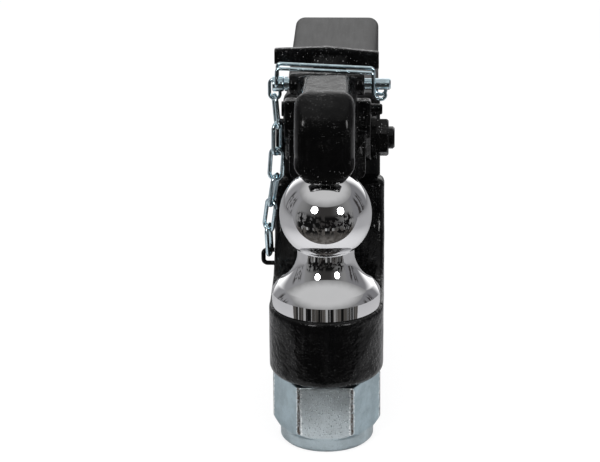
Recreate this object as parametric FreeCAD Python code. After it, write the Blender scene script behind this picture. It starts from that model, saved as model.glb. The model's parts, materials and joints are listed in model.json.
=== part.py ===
"""Pintle hook combination hitch on a square receiver shank.

Frame: origin at the centre of the hitch ball, +X to the right seen from the
front, +Y to the rear along the shank, +Z up along the ball's axis.  Sizes are
in millimetres, angles in degrees.
"""
import FreeCAD, Part
import math
import os

V = FreeCAD.Vector

# Hitch ball: two-inch ball on a one-and-a-quarter-inch threaded shank
ball_radius = 25.4
ball_flat_radius = 7.0
neck_radius = 15.85
flare_start_z = -22.0
flare_mid = (19.1, -30.5)
flare_end = (26.0, -36.6)
shoulder_mid = (28.9, -40.3)
flange_radius = 30.0
flange_edge_z = -45.0
seat_z = -52.8
stud_radius = 15.875
stud_hole_clearance = 0.25
stud_end_chamfer = 1.5

# Boss that carries the ball, and its lock nut
boss_radius = 31.75
boss_height = 39.9
boss_bottom_round = 5.0
boss_top_round = 1.2
nut_across_flats = 52.3
nut_height = 32.8
nut_chamfer = 4.0
nut_top_chamfer = 0.9
chamfer_circle = 0.985
insert_radius = 26.0
insert_height = 7.3
insert_crimp = 2.0
insert_inner_radius = 19.5
insert_ring_height = 3.4
stud_end_inset = 1.5

# Arm between the boss and the back wall
arm_half_width = 31.2
arm_round = 4.0
arm_under_round = 2.0
block_top_z = -4.0
block_top_round = 5.0
wall_depth = 12.5
throat_start_z = -14.0
throat_end_y = 33.0
arm_under_start = (22.0, -90.0)
arm_under_mid = (57.0, -75.0)
arm_under_end_z = -44.0

# Backing plate and square shank
plate_front_y = 76.5
plate_thickness = 8.0
plate_left_x = -26.5
plate_right_x = 28.6
plate_above_shank = 1.5
plate_corner_round = 7.0
plate_edge_round = 2.5
strike_notch_half = 12.0
shank_width = 50.8
shank_centre_z = 17.1
shank_length = 147.5
shank_round = 6.0
shank_end_chamfer = 2.0
receiver_pin_hole_radius = 8.2
receiver_pin_from_end = 57.0
weld_leg = 5.0
weld_toe = 0.8
weld_stop_below_top = 7.0

# Jaw pivot: half-inch bolt
pivot_setback = 16.5
pivot_z = 23.5
bolt_radius = 6.35
bolt_head_across_flats = 19.05
bolt_head_height = 4.8
bolt_end_beyond_nut = 3.4
bolt_nut_height = 6.8
bolt_washer_radius = 12.4
bolt_washer_thickness = 2.4
bolt_head_chamfer = 1.2
bolt_nut_chamfer = 1.0
bolt_tip_chamfer = 1.0
washer_hole_clearance = 0.2
thread_clearance = 0.1
running_clearance = 0.07
face_clearance = 0.3

# Tongue between the ears of the jaw
tongue_half_width = 16.3
tongue_radius = 13.5
tongue_gap = 0.5
tongue_front_angle = 235.0
tongue_top_angle = 57.0
tongue_foot_depth = 2.0
tongue_foot_inset = 3.0
strike_front_depth = 5.2
strike_step_rise = 14.1
strike_top_depth = 2.0
strike_top_rise = 16.7

# Upper jaw: nose, root, ears and cross boss
nose_half_width = 16.5
nose_top_z = 70.0
nose_round = 6.2
lip_side_round = 4.0
lip_half_width = 13.4
lip_taper_z = (31.0, 37.5)
lip_corner_z = 27.0
lip_bottom = (-14.5, 22.6)
lip_front_z = 30.0
nose_front_y = -18.0
nose_brow_radius = 28.0
nose_top_end_y = 30.0
lip_inner = (-9.8, 26.2)
arch_front = (-8.4, 33.0)
arch_front_mid = (-2.6, 42.6)
arch_top = (8.5, 46.0)
arch_back_rise = (7.6, 40.6)
root_front_before_pivot = 27.0
arch_back_z = 25.0
root_half_width = 21.3
root_bottom_z = 8.0
root_bottom_round = 4.0
root_top_z = 34.0
root_end_angle = 215.0
root_heel_before_pivot = 16.0
root_lap_behind_latch = 2.0
ear_outer_x = 24.3
ear_front_before_pivot = 20.5
ear_bottom_z = 30.0
ear_pivot_radius = 13.0
ear_latch_radius = 6.5
ear_edge_round = 1.5
ear_low_angle = -50.0
ear_back_clear = 2.5
cross_boss_radius = 6.2
cross_boss_left_x = -21.0
cross_boss_right_x = 20.9
cross_boss_round = 1.2
web_back_angle = 112.0
web_clear_angles = (50.0, -10.0, -65.0)
chest_inset = 2.0
chest_rise = 4.0
root_top_step = 1.0

# Latch lever with its T-shaped handle
latch_before_pivot = 14.0
latch_above_pivot = 21.5
latch_half_width = 9.3
latch_heel_front_slope = 2.0
latch_crank_run = 6.0
latch_crank_rise = 7.0
latch_eye_foot = 1.0
handle_seat = (1.0, 1.5)
handle_lap = 2.0
latch_side_gap = 0.5
latch_eye_radius = 7.5
latch_pocket_gap = 0.5
latch_pocket_floor = 9.0
latch_pocket_rear = 14.0
latch_pocket_roof = 11.6
latch_pocket_front = ((5.8, 5.0), (1.7, 11.6))
latch_arm_rise = 6.0
latch_arm_drop = 1.8
latch_heel_depth = 8.9
latch_heel_gap = 0.4
latch_arm_reach = 24.0
latch_heel_chamfer = 0.9
handle_behind_wall = 9.5
handle_depth = 8.0
handle_left = (-31.6, 59.8, 65.6)
handle_crown = (-1.5, 66.8)
handle_right = (27.9, 58.0, 63.8)
handle_round = 1.8
latch_pin_radius = 3.0
latch_pin_right_x = 30.5
latch_pin_head_radius = 4.2
latch_pin_head_height = 1.4
latch_pin_chamfer = 0.6
spring_wire_radius = 0.75
spring_coil_radius = 4.6
spring_turns = 3
spring_pitch = 1.65
spring_side_gap = 0.2
spring_room_gap = 0.75
spring_room_length = 7.0

# Lock pin with its head, thrust collar and chain eye
lock_before_pivot = 20.0
lock_z = 61.6
lock_radius = 3.175
lock_tip_x = 35.2
lock_tip_chamfer = 0.8
lock_head_radius = 4.3
lock_head_left_x = -30.4
lock_head_right_x = -24.0
lock_head_round = 0.7
collar_left_x = -23.5
collar_right_x = -21.8
collar_radius = 4.1
collar_clearance = 0.15
eye_half_width = 2.9
eye_half_height = 5.8
eye_wire_radius = 0.95
eye_drop = 3.0
eye_overlap = 4.2

# Bail of spring wire that straddles the pin
bail_wire_radius = 1.0
bail_pivot_spread = 5.6
bail_half_spread = 4.4
bail_pivot_x = -28.0
bail_left_corner = (-27.6, 71.8)
bail_right_corner = (25.6, 69.3)
bail_leg_bottom = (25.6, 57.6)
bail_corner_cut = 1.6
bail_lean = 0.2
bail_curl = [(27.2, 55.0), (30.6, 53.8), (32.4, 56.0), (32.0, 58.2)]
wire_hole_clearance = 0.06

# Chain and its staple on the arm's left side
link_count = 6
link_width = 10.0
link_wire_radius = 1.2
link_slack = 0.75
link_seat_gap = 0.25
chain_bow = [(2.0, -1.5), (2.4, -2.2), (1.9, -2.5), (0.2, -2.2), (-1.3, -1.3)]
chain_twists = [75, -55, 10, 110, 45, 105]
staple_before_wall = 21.5
staple_z = -46.8
staple_reach = 6.3
staple_half_height = 4.0
staple_corner_cut = 2.0
staple_wire_radius = 1.3
link_to_arm_gap = 1.4

# Values that follow from the sizes above
boss_bottom_z = seat_z - boss_height
nut_bottom_z = boss_bottom_z - nut_height
insert_bottom_z = nut_bottom_z - insert_height
shank_front_y = plate_front_y + plate_thickness
shank_end_y = shank_front_y + shank_length
shank_half = shank_width / 2
shank_bottom_z = shank_centre_z - shank_half
shank_top_z = shank_centre_z + shank_half
bolt_head_face_x = -(ear_outer_x + face_clearance)
washer_face_x = ear_outer_x + face_clearance
bolt_nut_x = washer_face_x + bolt_washer_thickness
bolt_end_x = bolt_nut_x + bolt_nut_height + bolt_end_beyond_nut
throat_y = plate_front_y - wall_depth
pivot_y = plate_front_y - pivot_setback
strike_front_y = plate_front_y - strike_front_depth
strike_top_y = plate_front_y - strike_top_depth
strike_step_z = pivot_z + strike_step_rise
strike_top_z = pivot_z + strike_top_rise
plate_top_z = shank_top_z + plate_above_shank
latch_z = pivot_z + latch_above_pivot
latch_arm_top_z = latch_z + latch_arm_rise
latch_arm_bottom_z = latch_z - latch_arm_drop
latch_heel_bottom_z = strike_step_z + latch_heel_gap
ear_top_z = latch_z + ear_latch_radius
root_front_y = pivot_y - root_front_before_pivot
ear_front_y = pivot_y - ear_front_before_pivot
latch_y = pivot_y - latch_before_pivot
latch_heel_back_y = strike_front_y - latch_heel_gap
latch_heel_front_y = latch_heel_back_y - latch_heel_depth
handle_front_y = plate_front_y + handle_behind_wall
lock_y = pivot_y - lock_before_pivot
arch_back_mid = (root_front_y - arch_back_rise[0], arch_back_rise[1])
staple_y = plate_front_y - staple_before_wall
pivot = (pivot_y, pivot_z)
latch_point = (latch_y, latch_z)
lock_point = (lock_y, lock_z)


def polar(centre, radius, angle):
    """Point of the side view at a radius and an angle from +Y towards +Z."""
    turn = math.radians(angle)
    return (centre[0] + radius * math.cos(turn), centre[1] + radius * math.sin(turn))


def outline(start, steps, place):
    """Closed wire: a step is a point for a line, or (middle, end) for an arc."""
    edges = []
    here = place(start)
    for step in list(steps) + [start]:
        if isinstance(step[0], tuple):
            end = place(step[1])
            edges.append(Part.Arc(here, place(step[0]), end).toShape())
        else:
            end = place(step)
            if end.distanceToPoint(here) > 1e-6:
                edges.append(Part.LineSegment(here, end).toShape())
        here = end
    return Part.Wire(edges)


def slab(start, steps, x_low, x_high):
    """Side-view outline (Y, Z) pulled along X."""
    wire = outline(start, steps, lambda p: V(x_low, p[0], p[1]))
    return Part.Face(wire).extrude(V(x_high - x_low, 0, 0))


def front_slab(points, y_low, y_high):
    """Front-view polygon (X, Z) pulled along Y."""
    wire = outline(points[0], points[1:], lambda p: V(p[0], y_low, p[1]))
    return Part.Face(wire).extrude(V(0, y_high - y_low, 0))


def turned(start, steps):
    """Half profile (radius, Z) turned about the ball's axis."""
    wire = outline(start, steps, lambda p: V(p[0], 0, p[1]))
    return Part.Face(wire).revolve(V(0, 0, 0), V(0, 0, 1), 360)


def cross_rod(point, radius, x_low, x_high):
    """Cylinder along X through a point of the side view."""
    return Part.makeCylinder(radius, x_high - x_low, V(x_low, point[0], point[1]), V(1, 0, 0))


def hexagon(across_flats, height, base, direction):
    """Hexagonal prism that stands on its base point."""
    corner = across_flats / math.sqrt(3)
    points = []
    for i in range(7):
        turn = math.radians(60 * i)
        points.append(V(corner * math.cos(turn), corner * math.sin(turn), 0))
    prism = Part.Face(Part.makePolygon(points)).extrude(V(0, 0, height))
    prism.Placement = FreeCAD.Placement(base, FreeCAD.Rotation(V(0, 0, 1), direction))
    return prism


def cone_trim(solid, across_flats, height, base, direction, chamfer, ends):
    """Cut a hexagon's corners back with the usual conical chamfer."""
    corner = across_flats / math.sqrt(3)
    inner = across_flats / 2 * chamfer_circle
    drop = (corner - inner) * chamfer / (corner - across_flats / 2)
    points = [(0, 0), (corner + 1, 0), (corner + 1, height), (0, height)]
    if "low" in ends:
        points[0:2] = [(0, 0), (inner, 0), (corner + 1, drop * (corner + 1 - inner) / (corner - inner))]
    if "high" in ends:
        top = height - drop * (corner + 1 - inner) / (corner - inner)
        points[-2:] = [(corner + 1, top), (inner, height), (0, height)]
    envelope = turned(points[0], points[1:])
    envelope.Placement = FreeCAD.Placement(base, FreeCAD.Rotation(V(0, 0, 1), direction))
    return solid.common(envelope)


def rounded(solid, radius, wanted):
    """Round the edges for which wanted(edge, centre) is true."""
    edges = [e for e in solid.Edges if wanted(e, e.CenterOfMass)]
    return solid.makeFillet(radius, edges) if edges else solid


def lies_flat_at_x(edge, values):
    """True for an edge that lies wholly in one of the planes X = value."""
    box = edge.BoundBox
    return any(abs(box.XMin - x) < 1e-3 and abs(box.XMax - x) < 1e-3 for x in values)


def wire_tube(points, radius, closed, normal, sides=8):
    """Faceted round wire along a polyline, mitred at its corners."""
    count = len(points)
    runs = [points[(i + 1) % count] - points[i] for i in range(count if closed else count - 1)]
    for run in runs:
        run.normalize()
    first = runs[0] + runs[-1] if closed else runs[0]
    across = V(normal).cross(runs[0])
    across.normalize()
    upright = runs[0].cross(across)
    ring = []
    for k in range(sides):
        turn = 2 * math.pi * (k + 0.5) / sides
        rim = points[0] + across * (radius * math.cos(turn)) + upright * (radius * math.sin(turn))
        ring.append(rim + runs[0] * ((points[0] - rim).dot(first) / runs[0].dot(first)))
    rings = [ring]
    for i, run in enumerate(runs[:-1] if closed else runs):
        here = points[i + 1]
        mitre = run + runs[i + 1] if i + 1 < len(runs) else run
        rings.append([rim + run * ((here - rim).dot(mitre) / run.dot(mitre)) for rim in rings[-1]])
    faces = []
    for i in range(len(runs)):
        near, far = rings[i], rings[(i + 1) % len(rings)]
        for k in range(sides):
            m = (k + 1) % sides
            faces.append(Part.Face(Part.makePolygon([near[k], near[m], far[m], far[k], near[k]])))
    if not closed:
        for ring in (rings[0], rings[-1]):
            faces.append(Part.Face(Part.makePolygon(ring + [ring[0]])))
    solid = Part.Solid(Part.Shell(faces))
    if solid.Volume < 0:
        solid.reverse()
    return solid


def oval(centre, along, side, half_length, half_width):
    """Twelve points of an oval with two round ends, its long axis along the first vector."""
    straight = half_length - half_width
    points = []
    for i in range(12):
        turn = math.radians(30 * i + 15)
        shift = straight if math.cos(turn) > 0 else -straight
        points.append(centre + along * (shift + half_width * math.cos(turn))
                      + side * (half_width * math.sin(turn)))
    return points


def throat_arc():
    """Middle point of the throat's round, which starts upright at the wall."""
    rise = throat_start_z - seat_z
    run = throat_y - throat_end_y
    radius = (run * run + rise * rise) / (2 * run)
    centre = (throat_y - radius, throat_start_z)
    end_angle = math.degrees(math.atan2(-rise, throat_end_y - centre[0]))
    return polar(centre, radius, end_angle / 2)


def make_hitch_ball():
    """Ball, flared neck, flange and threaded shank, turned as one piece."""
    top_z = math.sqrt(ball_radius ** 2 - ball_flat_radius ** 2)
    neck_z = -math.sqrt(ball_radius ** 2 - neck_radius ** 2)
    stud_end_z = insert_bottom_z + stud_end_inset
    return turned((0, top_z), [
        (ball_flat_radius, top_z), ((ball_radius, 0), (neck_radius, neck_z)),
        (neck_radius, flare_start_z), (flare_mid, flare_end),
        (shoulder_mid, (flange_radius, flange_edge_z)), (flange_radius, seat_z),
        (stud_radius, seat_z), (stud_radius, stud_end_z + stud_end_chamfer),
        (stud_radius - stud_end_chamfer, stud_end_z), (0, stud_end_z)])


def make_ball_nut():
    """Large hexagonal nut with the round collar that holds its locking ring."""
    base = V(0, 0, nut_bottom_z)
    prism = hexagon(nut_across_flats, nut_height, base, V(0, 0, 1))
    prism = cone_trim(prism, nut_across_flats, nut_height, base, V(0, 0, 1), nut_chamfer, ("low",))
    prism = cone_trim(prism, nut_across_flats, nut_height, base, V(0, 0, 1), nut_top_chamfer, ("high",))
    collar = turned((0, nut_bottom_z), [
        (insert_radius, nut_bottom_z), (insert_radius, insert_bottom_z + insert_crimp),
        (insert_radius - insert_crimp, insert_bottom_z), (0, insert_bottom_z)])
    ring_room = Part.makeCylinder(insert_inner_radius, insert_height, V(0, 0, insert_bottom_z))
    bore = Part.makeCylinder(stud_radius + stud_hole_clearance, nut_height + insert_height,
                             V(0, 0, insert_bottom_z))
    return prism.fuse(collar).cut(ring_room).cut(bore).removeSplitter()


def make_nut_insert():
    """Locking ring inside the nut's collar."""
    base = V(0, 0, nut_bottom_z - insert_ring_height)
    outer = Part.makeCylinder(insert_inner_radius - stud_hole_clearance, insert_ring_height, base)
    inner = Part.makeCylinder(stud_radius + stud_hole_clearance, insert_ring_height, base)
    return outer.cut(inner)


def make_arm():
    """Block and arm that curve down and forward from the wall to the boss."""
    top_mid = polar((throat_y + block_top_round, block_top_z - block_top_round),
                    block_top_round, 135)
    arm = slab((plate_front_y, block_top_z), [
        (throat_y + block_top_round, block_top_z),
        (top_mid, (throat_y, block_top_z - block_top_round)),
        (throat_y, throat_start_z), (throat_arc(), (throat_end_y, seat_z)),
        (0, seat_z), (0, arm_under_start[1]), arm_under_start,
        (arm_under_mid, (plate_front_y, arm_under_end_z))], -arm_half_width, arm_half_width)

    def side_edge(edge, centre):
        return (lies_flat_at_x(edge, (-arm_half_width, arm_half_width))
                and throat_end_y + 1 < centre.y < plate_front_y - 0.1)

    arm = rounded(arm, arm_under_round, lambda e, c: side_edge(e, c) and c.z < seat_z)
    return rounded(arm, arm_round, lambda e, c: side_edge(e, c) and c.z > seat_z)


def make_boss():
    """Upright cylinder that the ball's shank passes through."""
    return turned((0, seat_z), [
        (boss_radius - boss_top_round, seat_z), (boss_radius, seat_z - boss_top_round),
        (boss_radius, boss_bottom_z + boss_bottom_round),
        (polar((boss_radius - boss_bottom_round, boss_bottom_z + boss_bottom_round),
               boss_bottom_round, -45), (boss_radius - boss_bottom_round, boss_bottom_z)),
        (0, boss_bottom_z)])


def make_tongue():
    """Lug on the wall that the jaw's ears straddle, with the latch's strike."""
    foot = polar(pivot, tongue_radius, tongue_front_angle)
    top = polar(pivot, tongue_radius, tongue_top_angle)
    middle = polar(pivot, tongue_radius, (tongue_front_angle + tongue_top_angle) / 2)
    foot_z = block_top_z - tongue_foot_depth
    return slab((plate_front_y, foot_z), [
        (throat_y + tongue_foot_inset, foot_z), (throat_y + tongue_foot_inset, block_top_z),
        foot, (middle, top),
        (strike_front_y, top[1]), (strike_front_y, strike_step_z),
        (strike_top_y, strike_top_z), (plate_front_y, strike_top_z)],
        -tongue_half_width, tongue_half_width)


def make_hook_body():
    """Forged lower body: boss, arm, block and tongue in one piece."""
    body = make_arm().fuse([make_boss(), make_tongue()])
    stud_hole = Part.makeCylinder(stud_radius + stud_hole_clearance, boss_height,
                                  V(0, 0, boss_bottom_z))
    bolt_hole = cross_rod(pivot, bolt_radius + running_clearance,
                          -tongue_half_width, tongue_half_width)
    return body.cut([stud_hole, bolt_hole]).removeSplitter()


def make_backing_plate():
    """Plate between the forged body and the shank, notched for the latch."""
    height = plate_top_z - arm_under_end_z
    plate = Part.makeBox(plate_right_x - plate_left_x, plate_thickness, height,
                         V(plate_left_x, plate_front_y, arm_under_end_z))

    def corner(edge, centre):
        return (edge.BoundBox.YLength > plate_thickness / 2
                and abs(centre.z - plate_top_z) < 0.01)

    def front_side(edge, centre):
        return (abs(centre.y - plate_front_y) < 0.01 and edge.BoundBox.YLength < 0.01
                and (centre.x < plate_left_x + 0.01 or centre.x > plate_right_x - 0.01))

    plate = rounded(plate, plate_corner_round, corner)
    plate = rounded(plate, plate_edge_round, front_side)
    notch = Part.makeBox(2 * strike_notch_half, plate_thickness, plate_top_z,
                         V(-strike_notch_half, plate_front_y, strike_top_z))
    return plate.cut(notch)


def make_shank():
    """Square receiver shank with the cross hole for the hitch pin."""
    bar = Part.makeBox(shank_width, shank_length, shank_width,
                       V(-shank_half, shank_front_y, shank_bottom_z))
    bar = rounded(bar, shank_round, lambda e, c: e.BoundBox.YLength > shank_length / 2)
    rear = [e for e in bar.Edges if e.BoundBox.YMin > shank_end_y - 0.01]
    bar = bar.makeChamfer(shank_end_chamfer, rear)
    hole = cross_rod((shank_end_y - receiver_pin_from_end, shank_centre_z),
                     receiver_pin_hole_radius, -shank_half, shank_half)
    return bar.cut(hole)


def weld_section(grow, y):
    """Outline of the weld at one depth: the shank's section grown by its leg."""
    half = shank_half + grow
    box = Part.makeBox(2 * half, 1, shank_width + 2 * grow, V(-half, y, shank_bottom_z - grow))
    box = rounded(box, shank_round + grow, lambda e, c: e.BoundBox.YLength > 0.5)
    return min(box.Faces, key=lambda f: f.CenterOfMass.y).OuterWire


def make_shank_weld():
    """Fillet weld along both sides and the bottom of the shank's front end."""
    bead = Part.makeLoft([weld_section(weld_leg, shank_front_y),
                          weld_section(weld_toe, shank_front_y + weld_leg)], True, True)
    bar = Part.makeBox(shank_width, shank_length, shank_width,
                       V(-shank_half, shank_front_y, shank_bottom_z))
    bar = rounded(bar, shank_round, lambda e, c: e.BoundBox.YLength > shank_length / 2)
    kept = Part.makeBox(plate_right_x - plate_left_x, 2 * weld_leg, shank_width,
                        V(plate_left_x, shank_front_y,
                          shank_top_z - weld_stop_below_top - shank_width))
    kept = kept.fuse(Part.makeBox(plate_right_x - plate_left_x, 2 * weld_leg, 2 * weld_leg,
                                  V(plate_left_x, shank_front_y, shank_bottom_z - 2 * weld_leg)))
    return bead.cut(bar).common(kept).removeSplitter()


def tangent_pair(first, first_radius, second, second_radius):
    """Points where the outer tangent on the far side touches two circles."""
    dy, dz = second[0] - first[0], second[1] - first[1]
    span = math.hypot(dy, dz)
    along = (dy / span, dz / span)
    across = (along[1], -along[0])
    lean = (first_radius - second_radius) / span
    lift = math.sqrt(1 - lean * lean)
    normal = (across[0] * lift + along[0] * lean, across[1] * lift + along[1] * lean)
    return [(c[0] + r * normal[0], c[1] + r * normal[1])
            for c, r in ((first, first_radius), (second, second_radius))]


def lip_round():
    """Middle point of the lip's round, which ends upright at the nose's front."""
    run = lip_bottom[0] - nose_front_y
    rise = lip_front_z - lip_bottom[1]
    radius = (run * run + rise * rise) / (2 * run)
    centre = (nose_front_y + radius, lip_front_z)
    start_angle = math.degrees(math.atan2(-rise, run - radius)) % 360
    return polar(centre, radius, (start_angle + 180) / 2)


def make_nose():
    """Beak of the jaw, from the lip over the arch to the root."""
    brow_centre = (nose_front_y + nose_brow_radius, nose_top_z - nose_brow_radius)
    brow_middle = polar(brow_centre, nose_brow_radius, 135)
    nose = slab(lip_bottom, [
        (lip_round(), (nose_front_y, lip_front_z)), (nose_front_y, brow_centre[1]),
        (brow_middle, (brow_centre[0], nose_top_z)),
        (nose_top_end_y, nose_top_z), (lock_y - chest_inset, lock_z + chest_rise),
        (latch_y, ear_top_z), (latch_y, root_top_z), (root_front_y, root_top_z - root_top_step),
        (root_front_y, arch_back_z),
        (arch_back_mid, arch_top), (arch_front_mid, arch_front), lip_inner],
        -nose_half_width, nose_half_width)

    def outer_edge(edge, centre):
        above_arch = centre.z > arch_top[1] + nose_round
        before_arch = centre.y < (lip_inner[0] + lip_bottom[0]) / 2 - 1
        return (lies_flat_at_x(edge, (-nose_half_width, nose_half_width))
                and edge.BoundBox.YMax < nose_top_end_y + 0.1 and (above_arch or before_arch))

    return rounded(nose, nose_round, outer_edge).cut(lip_trims())


def lip_trims():
    """What narrows the nose to its lip, on both sides."""
    low, high = lip_taper_z
    trims = []
    for side in (-1, 1):
        wide, slim = side * nose_half_width, side * lip_half_width
        points = [(wide, high), (slim, low), (slim, lip_corner_z),
                  (side * (lip_half_width - lip_side_round), lip_bottom[1] - lip_side_round),
                  (2 * wide, lip_bottom[1] - lip_side_round), (2 * wide, high)]
        trims.append(front_slab(points, nose_front_y - nose_round, arch_top[0]))
    return trims


def make_root():
    """Wide lower root of the jaw, rounded at its bottom."""
    root = slab((root_front_y, root_bottom_z), [
        (root_front_y, root_top_z), (latch_y + root_lap_behind_latch, root_top_z),
        polar(pivot, tongue_radius, 180),
        polar(pivot, tongue_radius, root_end_angle), (pivot_y - root_heel_before_pivot, root_bottom_z)],
        -root_half_width, root_half_width)
    return rounded(root, root_bottom_round,
                   lambda e, c: lies_flat_at_x(e, (-root_half_width, root_half_width))
                   and c.z < root_bottom_z + 0.1)


def make_ears():
    """Two ears that carry the jaw on its bolt and the latch on its pin."""
    low, high = tangent_pair(pivot, ear_pivot_radius, latch_point, ear_latch_radius)
    foot = polar(pivot, ear_pivot_radius, root_end_angle)
    plate = slab((ear_front_y, ear_bottom_z), [
        (ear_front_y, ear_top_z), (latch_y, ear_top_z), high, low,
        (polar(pivot, ear_pivot_radius, ear_low_angle), foot)], -ear_outer_x, ear_outer_x)

    def side_edge(edge, centre):
        return lies_flat_at_x(edge, (-ear_outer_x, ear_outer_x))

    return rounded(plate, ear_edge_round, side_edge)


def make_upper_jaw():
    """Forged upper jaw, bored for the bolt, the latch pin and the lock pin."""
    boss = cross_rod(lock_point, cross_boss_radius, cross_boss_left_x, cross_boss_right_x)
    boss = rounded(boss, cross_boss_round, lambda e, c: e.BoundBox.XLength < 0.01)
    jaw = make_nose().fuse([make_root(), make_ears(), boss])
    inner = tongue_half_width + face_clearance
    cuts = [
        cross_rod(pivot, tongue_radius + tongue_gap, -inner, inner),
        slab(pivot, [polar(pivot, ear_back_clear * ear_pivot_radius, angle) for angle in
                     (web_back_angle, *web_clear_angles, tongue_front_angle - 360)], -inner, inner),
        cross_rod(pivot, bolt_radius + running_clearance, -ear_outer_x, ear_outer_x),
        cross_rod(latch_point, latch_pin_radius, -ear_outer_x, ear_outer_x),
        cross_rod(lock_point, lock_radius + running_clearance, cross_boss_left_x,
                  cross_boss_right_x)]
    room = latch_half_width + latch_side_gap
    cuts.append(cross_rod(latch_point, latch_eye_radius + latch_pocket_gap, -room, room))
    front = [(latch_y - run, latch_z + rise) for run, rise in latch_pocket_front]
    cuts.append(slab((latch_y, latch_z - latch_pocket_floor), front + [
        (latch_y + latch_pocket_rear, latch_z + latch_pocket_roof),
        (latch_y + latch_pocket_rear, latch_z - latch_pocket_floor)], -room, room))
    spring_room = spring_coil_radius + spring_wire_radius + spring_room_gap
    cuts.append(cross_rod(latch_point, spring_room, -room - spring_room_length, -room))
    return jaw.cut(cuts).removeSplitter()


def make_latch_lever():
    """Latch lever: eye, arm, heel and crowned T handle in one piece."""
    eye = cross_rod(latch_point, latch_eye_radius, -latch_half_width, latch_half_width)
    handle_back_y = handle_front_y + handle_depth
    middle_z = (handle_left[1] + handle_left[2]) / 2
    arm = slab((latch_y, latch_arm_top_z), [
        (latch_y + latch_arm_reach, latch_arm_top_z),
        (handle_front_y + handle_seat[0], middle_z + handle_seat[1]),
        (handle_back_y - handle_lap, middle_z),
        (handle_front_y - handle_lap, latch_arm_bottom_z + latch_crank_rise),
        (latch_heel_back_y + latch_crank_run, latch_arm_bottom_z), (latch_heel_back_y, latch_arm_bottom_z),
        (latch_heel_back_y, latch_heel_bottom_z + latch_heel_chamfer),
        (latch_heel_back_y - latch_heel_chamfer, latch_heel_bottom_z),
        (latch_heel_front_y, latch_heel_bottom_z),
        (latch_heel_front_y - latch_heel_front_slope, latch_arm_bottom_z),
        (latch_y, latch_z - latch_eye_radius + latch_eye_foot)], -latch_half_width, latch_half_width)
    handle = front_slab([
        (handle_left[0], handle_left[1]), (handle_right[0], handle_right[1]),
        (handle_right[0], handle_right[2]), handle_crown, (handle_left[0], handle_left[2])],
        handle_front_y, handle_back_y)
    handle = rounded(handle, handle_round, lambda e, c: e.BoundBox.YLength < 0.01)
    lever = eye.fuse([arm, handle])
    hole = cross_rod(latch_point, latch_pin_radius + running_clearance,
                     -latch_half_width, latch_half_width)
    return lever.cut(hole).removeSplitter()


def make_latch_pin():
    """Pin through the jaw's ears on which the latch turns, headed on the left."""
    head = cross_rod(latch_point, latch_pin_head_radius,
                     -ear_outer_x - latch_pin_head_height, -ear_outer_x)
    pin = cross_rod(latch_point, latch_pin_radius, -ear_outer_x - latch_pin_head_height,
                    latch_pin_right_x)
    tip = [e for e in pin.Edges if e.BoundBox.XMin > latch_pin_right_x - 0.01]
    return pin.makeChamfer(latch_pin_chamfer, tip).fuse(head).removeSplitter()


def make_latch_spring():
    """Torsion spring wound round the latch pin beside the lever."""
    start_x = -(latch_half_width + latch_side_gap + spring_wire_radius + spring_side_gap)
    helix = Part.makeHelix(spring_pitch, spring_pitch * spring_turns, spring_coil_radius)
    section = Part.Wire(Part.makeCircle(spring_wire_radius, V(spring_coil_radius, 0, 0), V(0, 1, 0)))
    coil = Part.Wire(helix.Edges).makePipeShell([section], True, True)
    coil.Placement = FreeCAD.Placement(V(start_x, latch_y, latch_z),
                                       FreeCAD.Rotation(V(0, 0, 1), V(-1, 0, 0)))
    return coil


def make_jaw_bolt():
    """Hexagon bolt that the jaw turns on, its head on the left."""
    head_base = V(bolt_head_face_x, pivot_y, pivot_z)
    head = hexagon(bolt_head_across_flats, bolt_head_height, head_base, V(-1, 0, 0))
    head = cone_trim(head, bolt_head_across_flats, bolt_head_height, head_base, V(-1, 0, 0),
                     bolt_head_chamfer, ("high",))
    rod = cross_rod(pivot, bolt_radius, bolt_head_face_x, bolt_end_x)
    tip = [e for e in rod.Edges if e.BoundBox.XMin > bolt_end_x - 0.01]
    return rod.makeChamfer(bolt_tip_chamfer, tip).fuse(head).removeSplitter()


def make_bolt_washer():
    """Flat washer under the bolt's nut."""
    disc = cross_rod(pivot, bolt_washer_radius, washer_face_x, bolt_nut_x)
    return disc.cut(cross_rod(pivot, bolt_radius + washer_hole_clearance, washer_face_x, bolt_nut_x))


def make_bolt_nut():
    """Nut on the right end of the jaw bolt."""
    base = V(bolt_nut_x, pivot_y, pivot_z)
    nut = hexagon(bolt_head_across_flats, bolt_nut_height, base, V(1, 0, 0))
    nut = cone_trim(nut, bolt_head_across_flats, bolt_nut_height, base, V(1, 0, 0),
                    bolt_nut_chamfer, ("high",))
    return nut.cut(cross_rod(pivot, bolt_radius + thread_clearance, bolt_nut_x, bolt_end_x))


def make_lock_pin():
    """Lock pin: rod, head drilled for the bail, and the eye for the chain."""
    rod = cross_rod(lock_point, lock_radius, lock_head_right_x - 1, lock_tip_x)
    tip = [e for e in rod.Edges if e.BoundBox.XMin > lock_tip_x - 0.01]
    rod = rod.makeChamfer(lock_tip_chamfer, tip)
    head = cross_rod(lock_point, lock_head_radius, lock_head_left_x, lock_head_right_x)
    head = rounded(head, lock_head_round, lambda e, c: e.BoundBox.XLength < 0.01)
    hole = Part.makeCylinder(bail_wire_radius + wire_hole_clearance, 4 * lock_head_radius,
                             V(bail_pivot_x, lock_y - 2 * lock_head_radius, lock_z), V(0, 1, 0))
    centre = V(lock_head_left_x - eye_half_width + eye_overlap, lock_y, lock_z - eye_drop)
    ring = oval(centre, V(0, 0, 1), V(1, 0, 0), eye_half_height, eye_half_width)
    eye = wire_tube(ring, eye_wire_radius, True, V(0, 1, 0))
    return rod.fuse([head, eye]).cut(hole).removeSplitter()


def make_pin_collar():
    """Thrust collar on the lock pin between its head and the jaw's boss."""
    disc = cross_rod(lock_point, collar_radius, collar_left_x, collar_right_x)
    return disc.cut(cross_rod(lock_point, lock_radius + collar_clearance, collar_left_x, collar_right_x))


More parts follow.
